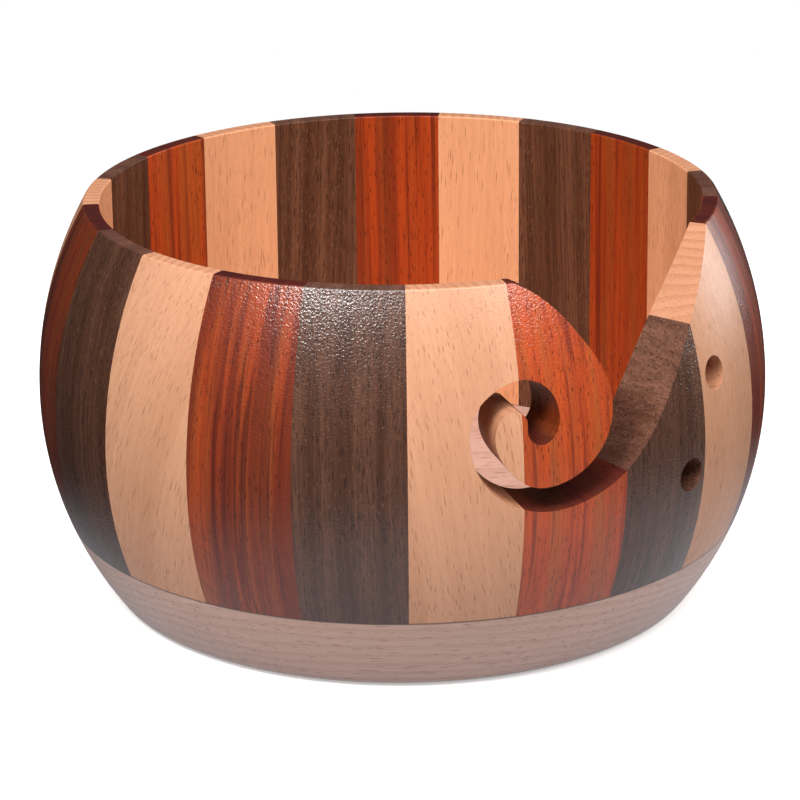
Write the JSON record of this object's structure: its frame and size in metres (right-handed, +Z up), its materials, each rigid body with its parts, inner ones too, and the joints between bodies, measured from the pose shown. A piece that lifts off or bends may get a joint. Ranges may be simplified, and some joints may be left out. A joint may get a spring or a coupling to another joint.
{
  "type": "yarn bowl",
  "caption": "Round turned bowl of striped wooden staves with a curled slot in its wall that guides yarn, and needle holes beside it.",
  "frame": {"origin": "middle of the flat underside of the base disc, on the surface the bowl stands on", "axes": "+Z up along the turning axis; the curled slot is towards -Y and +X, its curl about 20 degrees round from -Y"},
  "size_m": [0.15, 0.15, 0.083],
  "materials": {
    "light_wood": "satin lacquer over pale flecked beech-like wood",
    "dark_wood": "satin lacquer over dark walnut-like wood",
    "red_wood": "satin lacquer over red padauk-like wood",
    "base_wood": "satin lacquer over pale flecked beech-like wood, grain lying flat"
  },
  "bodies": {
    "root": {"base_disc": "base_wood", "stave_01_red": "red_wood", "stave_01_red_head": "red_wood", "stave_02_dark": "dark_wood", "stave_03_light": "light_wood", "stave_04_red": "red_wood", "stave_05_dark": "dark_wood", "stave_06_light": "light_wood", "stave_07_red": "red_wood", "stave_08_dark": "dark_wood", "stave_09_light": "light_wood", "stave_10_red": "red_wood", "stave_11_dark": "dark_wood", "stave_12_light": "light_wood", "stave_13_red": "red_wood", "stave_14_dark": "dark_wood", "stave_15_light": "light_wood", "stave_16_red": "red_wood", "stave_17_dark": "dark_wood", "stave_18_light": "light_wood", "stave_19_red": "red_wood", "stave_20_dark": "dark_wood", "stave_21_light": "light_wood", "stave_21_light_tongue_tip": "light_wood"}
  },
  "joints": []
}
